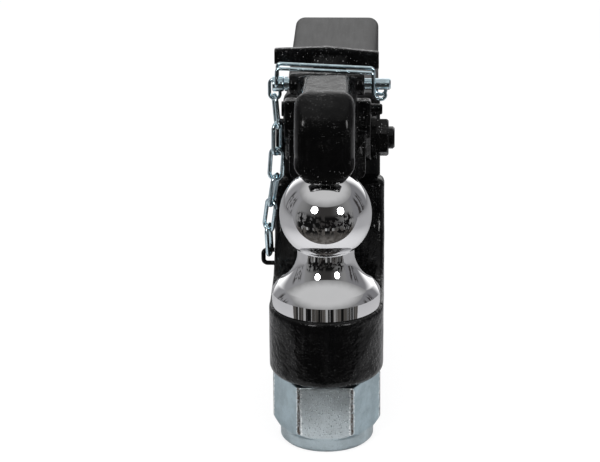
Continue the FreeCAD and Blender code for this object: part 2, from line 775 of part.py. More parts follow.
def bail_side(side):
    """Points of one half of the bail, from the pivot to its free end; side is -1 or 1."""
    cut = bail_corner_cut
    left, right = bail_left_corner, bail_right_corner
    points = [
        (left[0] - bail_lean, left[1] - cut), (left[0] + cut, left[1]),
        (right[0] - cut, right[1]), (right[0], right[1] - cut), bail_leg_bottom] + bail_curl
    y = lock_y + side * bail_half_spread
    return ([V(bail_pivot_x, lock_y + side * bail_pivot_spread, lock_z)]
            + [V(x, y, z) for x, z in points])


def make_bail():
    """Spring wire bail: two upright halves joined by the wire through the head."""
    halves = [wire_tube(bail_side(side), bail_wire_radius, False, V(0, 1, 0)) for side in (-1, 1)]
    reach = bail_pivot_spread + bail_wire_radius
    bridge = Part.makeCylinder(bail_wire_radius, 2 * reach, V(bail_pivot_x, lock_y - reach, lock_z),
                               V(0, 1, 0))
    return bridge.fuse(halves).removeSplitter()


def chain_points():
    """Line of the chain, from the pin's eye to the staple, bowed in towards the jaw."""
    seat = link_slack / 2 - link_seat_gap
    top = V(lock_head_left_x - eye_half_width + eye_overlap, lock_y,
            lock_z - eye_drop - eye_half_height + eye_wire_radius - seat)
    low = V(-arm_half_width - link_to_arm_gap - link_wire_radius, staple_y,
            staple_z + staple_half_height - staple_wire_radius + seat)
    bows = [(0, 0)] + chain_bow + [(0, 0)]
    return [top + (low - top) * (i / link_count) + V(dx, dy, 0) for i, (dx, dy) in enumerate(bows)]


def chain_link(start, end, twist):
    """One link, a flat oval whose two ends hook over the points of the chain's line."""
    along = end - start
    reach = along.Length / 2 + link_slack / 2 + link_wire_radius
    along.normalize()
    side = along.cross(V(0, 1, 0))
    side.normalize()
    side = FreeCAD.Rotation(along, twist).multVec(side)
    points = oval((start + end) * 0.5, along, side, reach, link_width / 2 - link_wire_radius)
    return wire_tube(points, link_wire_radius, True, along.cross(side))


def make_chain():
    """Chain of oval links from the lock pin's eye to the staple."""
    points = chain_points()
    links = [chain_link(a, b, twist) for a, b, twist in zip(points, points[1:], chain_twists)]
    return Part.makeCompound(links)


def make_chain_staple():
    """Staple welded to the arm's left side, which holds the chain's last link."""
    out = -arm_half_width - staple_reach
    bend = out + staple_corner_cut
    low, high = staple_z - staple_half_height, staple_z + staple_half_height
    points = [V(x, staple_y, z) for x, z in (
        (-arm_half_width, high), (bend, high), (out, high - staple_corner_cut),
        (out, low + staple_corner_cut), (bend, low), (-arm_half_width, low))]
    return wire_tube(points, staple_wire_radius, False, V(0, 1, 0))


PIECES = {
    "hitch_ball": make_hitch_ball,
    "ball_nut": make_ball_nut,
    "nut_insert": make_nut_insert,
    "hook_body": make_hook_body,
    "backing_plate": make_backing_plate,
    "shank": make_shank,
    "shank_weld": make_shank_weld,
    "upper_jaw": make_upper_jaw,
    "latch_lever": make_latch_lever,
    "latch_pin": make_latch_pin,
    "latch_spring": make_latch_spring,
    "jaw_bolt": make_jaw_bolt,
    "bolt_washer": make_bolt_washer,
    "bolt_nut": make_bolt_nut,
    "lock_pin": make_lock_pin,
    "pin_collar": make_pin_collar,
    "bail": make_bail,
    "chain": make_chain,
    "chain_staple": make_chain_staple,
}


def main():
    """Write one STEP file for each piece."""
    os.makedirs("parts", exist_ok=True)
    for name, make in PIECES.items():
        shape = make()
        print(f"{name}: {len(shape.Solids)} solid(s), valid {shape.isValid()}, "
              f"volume {shape.Volume:.0f}")
        shape.exportStep(f"parts/{name}.step")


main()
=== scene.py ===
"""Looks of the combination hitch, dressed over its fixed frame.

Frame: origin at the centre of the hitch ball, +X to the right seen from the
front, +Y to the rear along the shank, +Z up.  Everything is in metres.
"""

import json
import math

import bmesh
import bpy
import numpy as np
from mathutils import Matrix, Vector, noise


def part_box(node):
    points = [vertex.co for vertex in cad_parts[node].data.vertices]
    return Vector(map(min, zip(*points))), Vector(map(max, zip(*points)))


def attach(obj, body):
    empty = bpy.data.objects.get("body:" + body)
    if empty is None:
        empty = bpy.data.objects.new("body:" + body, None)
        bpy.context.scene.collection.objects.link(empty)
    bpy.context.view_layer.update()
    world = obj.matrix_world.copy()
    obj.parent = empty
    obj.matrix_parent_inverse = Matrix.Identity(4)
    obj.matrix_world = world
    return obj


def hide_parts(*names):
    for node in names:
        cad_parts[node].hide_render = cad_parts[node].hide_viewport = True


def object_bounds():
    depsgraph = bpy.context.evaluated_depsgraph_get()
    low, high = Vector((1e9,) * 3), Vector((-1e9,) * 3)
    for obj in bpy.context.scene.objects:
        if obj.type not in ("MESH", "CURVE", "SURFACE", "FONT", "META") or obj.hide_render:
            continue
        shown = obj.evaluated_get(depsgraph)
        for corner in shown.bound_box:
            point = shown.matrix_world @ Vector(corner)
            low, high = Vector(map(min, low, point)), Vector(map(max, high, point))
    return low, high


bl_info = {
    "name": "Combination hitch looks",
    "version": (1, 0, 0),
    "blender": (4, 5, 0),
    "location": "View3D > Sidebar > Hitch",
    "description": "Builds the surfaces of a pintle hook combination hitch and its studio",
    "category": "Object",
}

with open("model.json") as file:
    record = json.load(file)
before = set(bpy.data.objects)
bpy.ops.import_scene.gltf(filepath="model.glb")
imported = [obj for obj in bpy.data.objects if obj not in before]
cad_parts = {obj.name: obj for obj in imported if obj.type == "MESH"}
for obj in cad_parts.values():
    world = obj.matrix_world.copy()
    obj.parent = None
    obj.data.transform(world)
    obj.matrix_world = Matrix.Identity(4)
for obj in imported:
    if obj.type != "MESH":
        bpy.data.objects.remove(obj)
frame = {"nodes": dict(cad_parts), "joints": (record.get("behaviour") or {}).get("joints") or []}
NODES = frame["nodes"]
JOINTS = {joint["name"]: joint for joint in frame["joints"]}
CAD_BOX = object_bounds()
MM = 0.001

# The photograph's size and where it has the ball's centre, in pixels
PHOTO_WIDTH, PHOTO_HEIGHT = 600, 462
BALL_AT = (325.7, 213.5)

# Profile of the ball, radius and height, in millimetres
BALL_RADIUS = 25.4
BALL_FLAT = 7.0
FLAT_EDGE_WIDTH, FLAT_EDGE_DROP = 0.4, 0.1
NECK_RADIUS = 15.85
NECK_END = -24.2
# How far the neck runs straight next to the ball and next to its flare
NECK_STRAIGHT = (1.0, 0.6)
FLARE = ((19.4, -33.6), (26.6, -40.6))
SHOULDER = ((28.4, -42.6), (30.0, -44.9))
FLANGE_RADIUS = 30.0
FLANGE_EDGE_ROUND = 0.5
# Narrow ring beside each of the flange's rounds, which keeps its shading flat
FLANGE_BAND = 0.3
SEAT_Z = -52.8
STUD_RADIUS = 15.875
STUD_ROOT_WIDTH, STUD_ROOT_DROP = 0.5, 0.1
STUD_END_CHAMFER = 1.5
# Steps round the axis and along each arc
BALL_SIDES, BALL_STEPS, FLARE_STEPS, SHOULDER_STEPS = 192, 72, 24, 16
# Share of a round's radius that its middle lies inside the corner
ROUND_MIDDLE = 0.3

# Skins: smoothing rounds of the forgings, mesh width of the latch as a share of the jaw's, and
# the big nut's own mesh width and rounds
BODY_ROUNDS, JAW_ROUNDS, LATCH_ROUNDS, LATCH_SHARE = 5, 10, 4, 0.75
NUT_VOXEL, NUT_ROUNDS = 0.55 * MM, 3
# Widths of a forging's dents, and the gap that is closed between loose triangles
DENTS = (9 * MM, 4 * MM)
MERGE_GAP = 0.002 * MM
# Angles in degrees from which an edge shades sharp, on the ball and on the pin
BALL_SHARP, PIN_SHARP = 20, 40

# Colours of the small things that the finishes don't give
# Paler colour painted on the nut's front face, as lit
NUT_LIT_FACE = (0.58, 0.64, 0.66)
# Dark brown painted along the nut's corners, as shade
NUT_CORNER_SHADE = (0.07, 0.05, 0.04)
LOCK_RING = (0.55, 0.58, 0.60)
SPRING_STEEL = (0.30, 0.29, 0.28)

# Floor, in metres: its size, and where it ends in front of the ball for reflected light
FLOOR_RADIUS, FLOOR_SIDES = 4.0, 96
FLOOR_EDGE, FLOOR_EDGE_WIDTH = -0.085, 0.002

# Lamps: name, azimuth and elevation in degrees, diameter in metres, share of the set power
LAMP_DISTANCE = 1.5
LAMPS = (("round_left", -28.7, 25.9, 0.44, 1.0),
         ("round_right", 42.5, 21.4, 0.44, 1.0),
         ("sheet_above", 10.0, 84.0, 1.2, 1.5))
# Camera's sensor in millimetres, what it sees from and to in metres
SENSOR_WIDTH, CLIP = 36.0, (0.1, 20.0)

# Lock pin, turned about X, and the wire eye on its head, in millimetres
PIN_RADIUS = 3.175
PIN_TIP_CHAMFER = 0.8
PIN_HEAD_RADIUS = 4.3
PIN_HEAD_ROUND = 0.8
EYE_HALF_WIDTH = 2.9
EYE_HALF_HEIGHT = 5.8
EYE_WIRE = 0.95
EYE_DROP = 3.0
PIN_HEAD = (-30.4, -24.0)
PIN_ROOT = 0.2
PIN_SIDES, PIN_STEPS = 48, 6
EYE_OVERLAP = 4.2

# Bail's side view from its pivot, (X, Z) in millimetres
BAIL_SIDE = ((0.3, 10.2), (53.6, 7.7), (53.6, -4.0), (55.2, -6.6), (58.6, -7.8),
             (60.5, -5.6), (60.0, -3.4))
BAIL_SPREAD = 4.4
BAIL_PIVOT_SPREAD = 5.6
BAIL_WIRE, BAIL_BEND = 1.0, 1.9

# Handle of the latch: the frame's own bar and the taller, thinner one that shows.  Each row
# is X, lower edge and upper edge in millimetres.
HANDLE_FRONT, HANDLE_DEPTH, HANDLE_SHOWN_DEPTH = 86.0, 8.0, 5.0
HANDLE_FRAME = ((-31.6, 59.8, 65.6), (-1.5, 58.9, 66.8), (27.9, 58.0, 63.8))
HANDLE_SHOWN = ((-31.6, 58.0, 66.9), (-1.5, 56.6, 68.1), (27.9, 55.2, 65.2))
HANDLE_NECK = 3.0
LATCH_ARM_FROM, LATCH_ARM_LENGTH, LATCH_ARM_DROP = 62.0, 20.0, 2.0

# Nose of the jaw, in millimetres: its brow in the frame and as it shows, its waist, its lip
BROW_CENTRE, BROW_RADIUS, BROW_SHOWN_RADIUS = (10.0, 42.0), 28.0, 20.0
BROW_BLEND = (15.0, 24.0)
WAIST_NARROWING, WAIST_HEIGHTS = 0.18, (44.0, 54.0)
WAIST_FRONT, WAIST_REAR = (-2.0, 4.0), (29.0, 35.0)
ARCH_BLEND = (-8.0, -3.0)
NOSE_HALF_WIDTH, LIP_HALF_WIDTH, LIP_SHOWN_WIDTH = 16.5, 13.4, 11.5
LIP_TAPER, LIP_SHOWN_TAPER, LIP_BLEND = (31.0, 6.5), (22.0, 12.0), (24.0, 36.0)
LIP_DROP, LIP_CORNER_RISE, LIP_CORNER_LIMIT = 1.3, 2.6, 1.2

# Staple on the arm, in millimetres: how far it stands out, half its height, its wire
STAPLE_REACH = 6.3
STAPLE_HALF = 4.0
STAPLE_WIRE, STAPLE_BEND = 1.3, 2.4


# Socket arithmetic and node making

class Field:
    """A socket of a node tree; an expression on it adds the nodes it needs."""

    def __init__(self, tree, socket):
        self.tree = tree
        self.socket = socket

    def maths(self, operation, *others):
        """Result of a Math node with this socket first."""
        return self.tree.add("ShaderNodeMath", {"operation": operation},
                             dict(enumerate((self,) + others)))

    def __add__(self, other):
        return self.maths("ADD", other)

    __radd__ = __add__

    def __mul__(self, other):
        return self.maths("MULTIPLY", other)

    __rmul__ = __mul__

    def __sub__(self, other):
        return self.maths("SUBTRACT", other)

    def __rsub__(self, other):
        return self.tree.add("ShaderNodeMath", {"operation": "SUBTRACT"}, {0: other, 1: self})

    def ramp(self, low, high):
        """0 below low, 1 above high, smooth between."""
        return self.tree.add("ShaderNodeMapRange", {"interpolation_type": "SMOOTHSTEP"},
                             {"Value": self, "From Min": low, "From Max": high})

    def fall(self, low, high):
        """1 below low, 0 above high, smooth between."""
        return 1.0 - self.ramp(low, high)


class Tree:
    """Node tree of a material, a world or a modifier, filled by one method."""

    def __init__(self, node_tree):
        self.nodes = node_tree.nodes
        self.links = node_tree.links
        self.nodes.clear()

    def add(self, kind, options=None, values=None, output=0):
        """New node: its options first, then its sockets' values or links."""
        node = self.nodes.new(kind)
        for name, value in (options or {}).items():
            setattr(node, name, value)
        for key, value in (values or {}).items():
            socket = self.pick(node.inputs, key)
            if isinstance(value, Field):
                self.links.new(value.socket, socket)
            else:
                socket.default_value = value
        return Field(self, self.pick(node.outputs, output)) if len(node.outputs) else node

    @staticmethod
    def pick(sockets, key):
        """Socket by its number, or the one in use that has the name."""
        if isinstance(key, int):
            return sockets[key]
        return next(s for s in sockets if s.name == key and s.enabled)

    def object_point(self):
        """Object coordinates, in metres."""
        return self.add("ShaderNodeTexCoord", output="Object")

    def noise(self, point, size, detail=2.0, roughness=0.5):
        """Noise whose lumps are about size apart."""
        return self.add("ShaderNodeTexNoise", None, {
            "Vector": point, "Scale": 1.0 / size, "Detail": detail, "Roughness": roughness})

    def blend(self, factor, first, second):
        """Colour mixed by a factor."""
        return self.add("ShaderNodeMix", {"data_type": "RGBA"}, {
            "Factor": factor, "A": first, "B": second}, output="Result")

    def axis(self, point, name):
        """One coordinate of a point."""
        return self.add("ShaderNodeSeparateXYZ", None, {"Vector": point}, output=name)

    def bump(self, height, distance):
        """Normal from a height field."""
        return self.add("ShaderNodeBump", None, {
            "Height": height, "Distance": distance, "Strength": 1.0}, output="Normal")


def rgba(colour, gain=1.0):
    """Colour with full alpha, brightened or darkened."""
    return (colour[0] * gain, colour[1] * gain, colour[2] * gain, 1.0)


def surface_material(name, build):
    """Material whose surface shader comes from build(tree)."""
    material = bpy.data.materials.new(name)
    material.use_nodes = True
    tree = Tree(material.node_tree)
    tree.add("ShaderNodeOutputMaterial", None, {"Surface": build(tree)})
    return material


# Finishes

def gloss_paint(name, colour, peel, specks):
    """Thick gloss paint over a rough forging: orange peel, small hard beads, grit and rare painted
    glints.
    """
    def build(tree):
        point = tree.object_point()
        flat = tree.add("ShaderNodeMapping", None, {"Vector": point, "Scale": (0.55, 1.0, 1.0)})
        skin = tree.noise(flat, 1.5 * MM, 3.0, 0.6)
        casting = tree.noise(point, 7.0 * MM, 2.0)
        patches = tree.noise(point, 10.0 * MM, 2.0).ramp(0.40, 0.62)
        x, y, z = (tree.axis(point, name) for name in "XYZ")
        low = z.fall(27.0 * MM, 34.0 * MM)
        rough = low.maths("MAXIMUM", y.ramp(30.0 * MM, 40.0 * MM))
        lip = low * y.fall(-14.0 * MM, -6.0 * MM)
        cheek = (x.maths("ABSOLUTE").ramp(13.0 * MM, 16.2 * MM)
                 * y.fall(-16.0 * MM, -8.0 * MM) * z.ramp(22.0 * MM, 28.0 * MM))
        lumps = tree.noise(point, 2.6 * MM, 1.0) * (rough * 0.85 + 0.15)
        grit = tree.noise(point, 0.8 * MM, 1.0).ramp(0.52, 0.70) * rough * (patches * 0.6 + 0.4)
        # Painted glints: rare pale dots in the colour, with more of them on the lip
        painted_glints = ((tree.noise(point, 0.8 * MM, 0.0) + lip * 0.03).ramp(0.795, 0.825)
                 * rough * z.ramp(8.0 * MM, 16.0 * MM))
        cells = tree.add("ShaderNodeTexVoronoi", None, {
            "Vector": point, "Scale": 1.0 / (1.5 * MM), "Randomness": 1.0}, output="Distance")
        beads = cells.fall(0.06, 0.36) * (patches * 0.8 + 0.2)
        film = tree.blend(casting, rgba(colour), rgba(colour, 1.8))
        gritty = tree.blend(grit, film, rgba(colour, 3.5))
        height = (skin * (patches * 0.9 + 0.8) * peel + (beads * 1.1 + lumps * 3.8) * specks
                  + casting * 1.4)
        return tree.add("ShaderNodeBsdfPrincipled", None, {
            "Base Color": tree.blend(painted_glints, gritty, rgba((0.35, 0.35, 0.35))),
            "Roughness": patches * 0.08 + skin * 0.06 + 0.12,
            "IOR": 1.19, "Coat Roughness": 0.05, "Coat IOR": 1.5,
            "Coat Weight": beads * 0.8 + patches * 0.2 + cheek * 0.8 + 0.08,
            "Normal": tree.bump(height, 0.17 * MM)})
    return surface_material(name, build)


def satin_coat(name, colour, half_width):
    """Thin satin coat on rolled steel: fine grain, drawing lines, dust, and painted shade
    darkening its side edges.
    """
    def build(tree):
        point = tree.object_point()
        grain = tree.noise(point, 0.6 * MM, 2.0)
        stretched = tree.add("ShaderNodeMapping", None, {
            "Vector": point, "Scale": (1.0, 0.10, 1.0)})
        lines = tree.noise(stretched, 3.0 * MM, 3.0, 0.7).ramp(0.30, 0.70)
        clouds = tree.noise(point, 22.0 * MM, 3.0, 0.6)
        aside = tree.axis(point, "X").maths("ABSOLUTE")
        # Painted shade: the side edges are painted darker, and they carry less coat
        corner = (aside + lines * MM).ramp(half_width - 6.0 * MM, half_width - 1.0 * MM)
        dust = tree.noise(point, 1.1 * MM, 0.0).ramp(0.76, 0.82)
        tint = tree.blend(clouds * 0.7 + lines * 0.3, rgba(colour, 0.8), rgba(colour, 1.3))
        with_edge_shade = tree.blend(corner * 0.6, tint, rgba(colour, 0.25))
        return tree.add("ShaderNodeBsdfPrincipled", None, {
            "Base Color": tree.blend(dust * 0.25, with_edge_shade, rgba((0.16, 0.155, 0.15))),
            "Roughness": clouds * 0.10 + grain * 0.06 + 0.32,
            "IOR": 1.15, "Coat Roughness": 0.30, "Coat IOR": 1.30,
            "Coat Weight": (1.0 - corner * 0.9) * (lines * 0.08 + 0.15),
            "Normal": tree.bump(grain * 0.5 + lines * 0.8 + clouds * 1.5, 0.04 * MM)})
    return surface_material(name, build)


def chrome_plate(name, colour):
    """Bright chrome with a breath of unevenness under the polish."""
    def build(tree):
        point = tree.object_point()
        haze = tree.noise(point, 9.0 * MM, 3.0)
        waves = tree.noise(point, 16.0 * MM, 1.0)
        wipes = tree.noise(point, 1.2 * MM, 2.0).ramp(0.55, 0.80)
        return tree.add("ShaderNodeBsdfPrincipled", None, {
            "Base Color": tree.blend(haze, rgba(colour, 0.97), rgba(colour, 1.02)),
            "Metallic": 1.0,
            "Roughness": haze * 0.02 + wipes * 0.015 + 0.015,
            "Normal": tree.bump(waves, 0.008 * MM)})
    return surface_material(name, build)


def zinc_plate(name, colour, grain_size, dull):
    """Clear zinc plating: bluish, mottled, finely pitted, with pale spots from rubbing."""
    def build(tree):
        point = tree.object_point()
        mottle = tree.noise(point, 6.0 * MM, 4.0, 0.65)
        grain = tree.noise(point, grain_size, 3.0, 0.7)
        pits = tree.noise(point, 0.8 * MM, 1.0).ramp(0.66, 0.80)
        cool = tree.blend(mottle.ramp(0.35, 0.65), rgba(colour, 0.90), rgba(colour, 1.25))
        tint = tree.blend(grain.ramp(0.50, 0.85) * 0.55, cool, rgba((0.92, 0.94, 0.94)))
        return tree.add("ShaderNodeBsdfPrincipled", None, {
            "Base Color": tree.blend(pits * 0.6, tint, rgba(colour, 0.35)),
            "Metallic": 1.0,
            "Roughness": mottle * 0.10 + grain * 0.08 + dull,
            "Normal": tree.bump(grain * 0.7 - pits, 0.07 * MM)})
    return surface_material(name, build)


def nut_zinc(name, colour, pale, corner_shade):
    """Zinc on the big nut: bluish sides, pitted, the front face painted paler as lit, and the
    corners painted dark brown as shade with a painted highlight line beside them.
    """
    def build(tree):
        point = tree.object_point()
        mottle = tree.noise(point, 11.0 * MM, 5.0, 0.65)
        shade = mottle.ramp(0.32, 0.66)
        grain = tree.noise(point, 0.9 * MM, 3.0, 0.7)
        spots = tree.noise(point, 0.7 * MM, 1.0)
        x, y, z = (tree.axis(point, name) for name in "XYZ")
        reach = (x * x + y * y).maths("SQRT")
        hexagon = z.ramp(-124.5 * MM, -123.0 * MM)
        drift = reach + mottle * 1.1 * MM + grain * 0.7 * MM
        # Painted shade and highlight: dark brown along the corners, and a bright line painted just
        # inside them
        corner = drift.ramp(30.50 * MM, 30.68 * MM) * hexagon
        painted_corner_highlight = (drift.ramp(30.10 * MM, 30.26 * MM) * (1.0 - corner) * grain.ramp(0.46, 0.54)
                * hexagon)
        # Painted light: the front face is painted paler and greyer than the darker bluish flanks,
        # the collar gets half of that paler colour, and the pale grains are stronger on the front
        # face
        front = (0.0 - y).ramp(25.0 * MM, 25.8 * MM) * hexagon
        pits = spots.ramp(0.60, 0.70) * (front * 0.6 + 0.3)
        flank = tree.blend(shade, rgba(colour, 0.54), rgba(colour, 0.74))
        face = tree.blend(shade, rgba(pale, 0.74), rgba(pale, 1.00))
        plain = tree.blend((1.0 - hexagon) * 0.5 + front, flank, face)
        tint = tree.blend(grain.ramp(0.48, 0.85) * (front * 0.5 + 0.15), plain, rgba(pale, 1.3))
        with_edge_shade = tree.blend(corner * (grain.ramp(0.40, 0.52) * 0.75 + 0.25), tint, rgba(corner_shade))
        with_corner_highlight = tree.blend(painted_corner_highlight, with_edge_shade, rgba((0.95, 0.97, 0.97)))
        return tree.add("ShaderNodeBsdfPrincipled", None, {
            "Base Color": tree.blend(pits, with_corner_highlight, rgba(colour, 0.30)),
            "Metallic": 1.0,
            "Roughness": mottle * 0.14 + grain * 0.10 + 0.20,
            "Normal": tree.bump(grain * 0.8 - pits * 1.2 + mottle * 1.5, 0.06 * MM)})
    return surface_material(name, build)


def nylon(name, colour):
    """Milky locking ring."""
    def build(tree):
        point = tree.object_point()
        haze = tree.noise(point, 3.0 * MM, 2.0)
        return tree.add("ShaderNodeBsdfPrincipled", None, {
            "Base Color": tree.blend(haze, rgba(colour, 0.85), rgba(colour)),
            "Roughness": haze * 0.2 + 0.35,
            "Normal": tree.bump(haze, 0.05 * MM)})
    return surface_material(name, build)


def spring_wire(name, colour):
    """Oiled spring wire with drawing marks."""
    def build(tree):
        point = tree.object_point()
        marks = tree.noise(point, 0.5 * MM, 2.0)
        return tree.add("ShaderNodeBsdfPrincipled", None, {
            "Base Color": tree.blend(marks, rgba(colour, 0.6), rgba(colour, 1.2)),
            "Metallic": 1.0,
            "Roughness": marks * 0.2 + 0.2,
            "Normal": tree.bump(marks, 0.02 * MM)})
    return surface_material(name, build)


# Mesh helpers

def new_object(name, data):
    """Object of a mesh, a lamp or a camera, in the scene."""
    made = bpy.data.objects.new(name, data)
    bpy.context.scene.collection.objects.link(made)
    return made


def paint_mesh(mesh, material):
    """Give a mesh one finish."""
    mesh.materials.clear()
    mesh.materials.append(material)


def place_object(name, mesh, body, material=None, stands_for=()):
    """Show a finished mesh on its body, in place of its nodes."""
    piece = new_object(name, mesh)
    if material is not None:
        paint_mesh(mesh, material)
    if stands_for:
        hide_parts(*stands_for)
    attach(piece, body)
    return piece


def evaluated_mesh(piece, name):
    """Plain mesh of an object with its modifiers carried out; the object goes."""
    graph = bpy.context.evaluated_depsgraph_get()
    mesh = bpy.data.meshes.new_from_object(piece.evaluated_get(graph), depsgraph=graph)
    mesh.name = name
    bpy.data.objects.remove(piece)
    return mesh


def smooth_shade(mesh):
    """Smooth normals on every face."""
    mesh.polygons.foreach_set("use_smooth", [True] * len(mesh.polygons))
    mesh.update()


def merged_copy(node):
    """Copy of a node's mesh with its loose triangles joined."""
    mesh = NODES[node].data.copy()
    for name in [a.name for a in mesh.attributes if a.name == "custom_normal"]:
        mesh.attributes.remove(mesh.attributes[name])
    work = bmesh.new()
    work.from_mesh(mesh)
    bmesh.ops.remove_doubles(work, verts=work.verts, dist=MERGE_GAP)
    work.to_mesh(mesh)
    work.free()
    return mesh


def softened_copy(node, voxel, rounds, swell, reshape=None):
    """Node's shape under thick paint: even skin, soft edges and a forging's unevenness."""
    piece = new_object("softened", merged_copy(node))
    remesh = piece.modifiers.new("skin", "REMESH")
    remesh.mode = "VOXEL"
    remesh.voxel_size = voxel
    soften = piece.modifiers.new("soften", "SMOOTH")
    soften.factor = 0.5
    soften.iterations = rounds
    mesh = evaluated_mesh(piece, node + "_skin")
    if reshape:
        places = np.empty(len(mesh.vertices) * 3)
        mesh.vertices.foreach_get("co", places)
        mesh.vertices.foreach_set("co", reshape(places.reshape(-1, 3) / MM).ravel() * MM)
        mesh.update()
    if swell:
        hammer(mesh, swell)
    smooth_shade(mesh)
    return mesh


def taller_handle(places):
    """Draw the latch's bar out to the taller, thinner one that shows."""
    x, y, z = places.T

    def edges(rows):
        spots, low, high = zip(*rows)
        return np.interp(x, spots, low), np.interp(x, spots, high)

    low, high = edges(HANDLE_FRAME)
    new_low, new_high = edges(HANDLE_SHOWN)
    share = (z - low) / (high - low)
    lift = np.where(share < 0, (new_low - low) * np.clip(1 + share, 0, 1),
                    (new_low - low) + np.clip(share, 0, 1) * (new_high - high - new_low + low))
    near = eased(y, HANDLE_FRONT - HANDLE_NECK, HANDLE_FRONT)
    behind = np.clip(y - HANDLE_FRONT, 0, None)
    arm = np.clip((y - LATCH_ARM_FROM) / LATCH_ARM_LENGTH, 0, 1) * (1 - near) * LATCH_ARM_DROP
    thinner = behind * (1 - HANDLE_SHOWN_DEPTH / HANDLE_DEPTH)
    return np.column_stack([x, y - thinner, z + lift * near - arm])


def eased(values, low, high):
    """0 below low, 1 above high, smooth between."""
    share = np.clip((values - low) / (high - low), 0, 1)
    return share * share * (3 - 2 * share)


def fuller_nose(places):
    """Give the jaw's nose its squarer brow, its waist behind the brow and its round lip."""
    x, y, z = places.T
    ahead, above = BROW_CENTRE[0] - y, z - BROW_CENTRE[1]
    reach = np.hypot(ahead, above)
    turn = np.arctan2(above, ahead)
    step = BROW_RADIUS - BROW_SHOWN_RADIUS
    cosine, sine = np.cos(turn), np.sin(turn)
    middle = step * (cosine + sine)
    rounded = middle + np.sqrt(
        np.maximum(middle ** 2 - 2 * step ** 2 + BROW_SHOWN_RADIUS ** 2, 0))
    steep = np.maximum(cosine, sine)
    straight = np.minimum(cosine, sine) < steep * step / BROW_RADIUS
    outline = np.where(straight, BROW_RADIUS / np.maximum(steep, 0.1), rounded)
    at_brow = eased(reach, *BROW_BLEND) * ((turn > 0) & (turn < math.pi / 2))
    grow = 1 + (outline / BROW_RADIUS - 1) * at_brow
    y, z = BROW_CENTRE[0] - ahead * grow, BROW_CENTRE[1] + above * grow
    waist = eased(y, *WAIST_FRONT) * (1 - eased(y, *WAIST_REAR)) * eased(z, *WAIST_HEIGHTS)
    ahead_of_arch = 1 - eased(y, *ARCH_BLEND)
    start, length = LIP_TAPER
    frame_width = LIP_HALF_WIDTH + (NOSE_HALF_WIDTH - LIP_HALF_WIDTH) * np.clip(
        (z - start) / length, 0, 1)
    start, length = LIP_SHOWN_TAPER
    shown_width = LIP_SHOWN_WIDTH + (NOSE_HALF_WIDTH - LIP_SHOWN_WIDTH) * np.sin(
        np.clip((z - start) / length, 0, 1) * math.pi / 2)
    x = x * (1 - WAIST_NARROWING * waist) * (1 + (shown_width / frame_width - 1) * ahead_of_arch)
    tip = (1 - eased(z, *LIP_BLEND)) * ahead_of_arch
    bulge = np.minimum((x / LIP_HALF_WIDTH) ** 2, LIP_CORNER_LIMIT)
    return np.column_stack([x, y, z + tip * (LIP_CORNER_RISE * bulge - LIP_DROP)])


def hammer(mesh, height):
    """Push the skin in and out a little, as a forging's surface lies."""
    count = len(mesh.vertices)
    places, normals = np.empty(count * 3), np.empty(count * 3)
    mesh.vertices.foreach_get("co", places)
    mesh.vertices.foreach_get("normal", normals)
    places, normals = places.reshape(-1, 3), normals.reshape(-1, 3)
    wide, narrow = DENTS
    lift = np.array([noise.noise(Vector(p) / wide) + 0.5 * noise.noise(Vector(p) / narrow)
                     for p in places])
    mesh.vertices.foreach_set("co", (places + normals * (lift * height)[:, None]).ravel())
    mesh.update()


def arc(start, middle, end, steps):
    """Points of the arc through three points, without its first."""
    (ax, ay), (bx, by), (cx, cy) = start, middle, end
    d = 2 * (ax * (by - cy) + bx * (cy - ay) + cx * (ay - by))
    sa, sb, sc = ax * ax + ay * ay, bx * bx + by * by, cx * cx + cy * cy
    ox = (sa * (by - cy) + sb * (cy - ay) + sc * (ay - by)) / d
    oy = (sa * (cx - bx) + sb * (ax - cx) + sc * (bx - ax)) / d
    radius = math.hypot(ax - ox, ay - oy)
    first = math.atan2(ay - oy, ax - ox)
    sweep = (math.atan2(cy - oy, cx - ox) - first) % (2 * math.pi)
    passed = (math.atan2(by - oy, bx - ox) - first) % (2 * math.pi)
    if passed > sweep:
        sweep -= 2 * math.pi
    return [(ox + radius * math.cos(first + sweep * i / steps),
             oy + radius * math.sin(first + sweep * i / steps)) for i in range(1, steps + 1)]


def lathe(profile, sides, place):
    """Mesh turned from (radius, height) points; place(radius, turn, height) gives a vertex."""
    work = bmesh.new()
    rings = []
    for radius, height in profile:
        if radius < 1e-9:
            rings.append([work.verts.new(place(0.0, 0.0, height))])
        else:
            rings.append([work.verts.new(place(radius, 2 * math.pi * k / sides, height))
                          for k in range(sides)])
    for low, high in zip(rings, rings[1:]):
        for k in range(sides):
            m = (k + 1) % sides
            corners = []
            for vert in (low[k % len(low)], low[m % len(low)],
                         high[m % len(high)], high[k % len(high)]):
                if vert not in corners:
                    corners.append(vert)
            if len(corners) > 2:
                work.faces.new(corners)
    bmesh.ops.recalc_face_normals(work, faces=work.faces)
    mesh = bpy.data.meshes.new("turned")
    work.to_mesh(mesh)
    work.free()
    smooth_shade(mesh)
    return mesh


def upright(radius, turn, height):
    """Vertex about the ball's axis, given in millimetres."""
    return Vector((radius * math.cos(turn), radius * math.sin(turn), height)) * MM


def toward(azimuth, elevation):
    """Unit vector from the ball's centre toward a place round it."""
    return Vector((math.sin(azimuth) * math.cos(elevation),
                   -math.cos(azimuth) * math.cos(elevation), math.sin(elevation)))


def joined(meshes, name):
    """One mesh out of several."""
    work = bmesh.new()
    for mesh in meshes:
        work.from_mesh(mesh)
    made = bpy.data.meshes.new(name)
    work.to_mesh(made)
    work.free()
    smooth_shade(made)
    return made


def sharpen(mesh, degrees):
    """Mark edges sharper than an angle, so that they shade as edges."""
    work = bmesh.new()
    work.from_mesh(mesh)
    for edge in work.edges:
        if len(edge.link_faces) == 2 and edge.calc_face_angle(0.0) > math.radians(degrees):
            edge.smooth = False
    work.to_mesh(mesh)
    work.free()


# Geometry Nodes

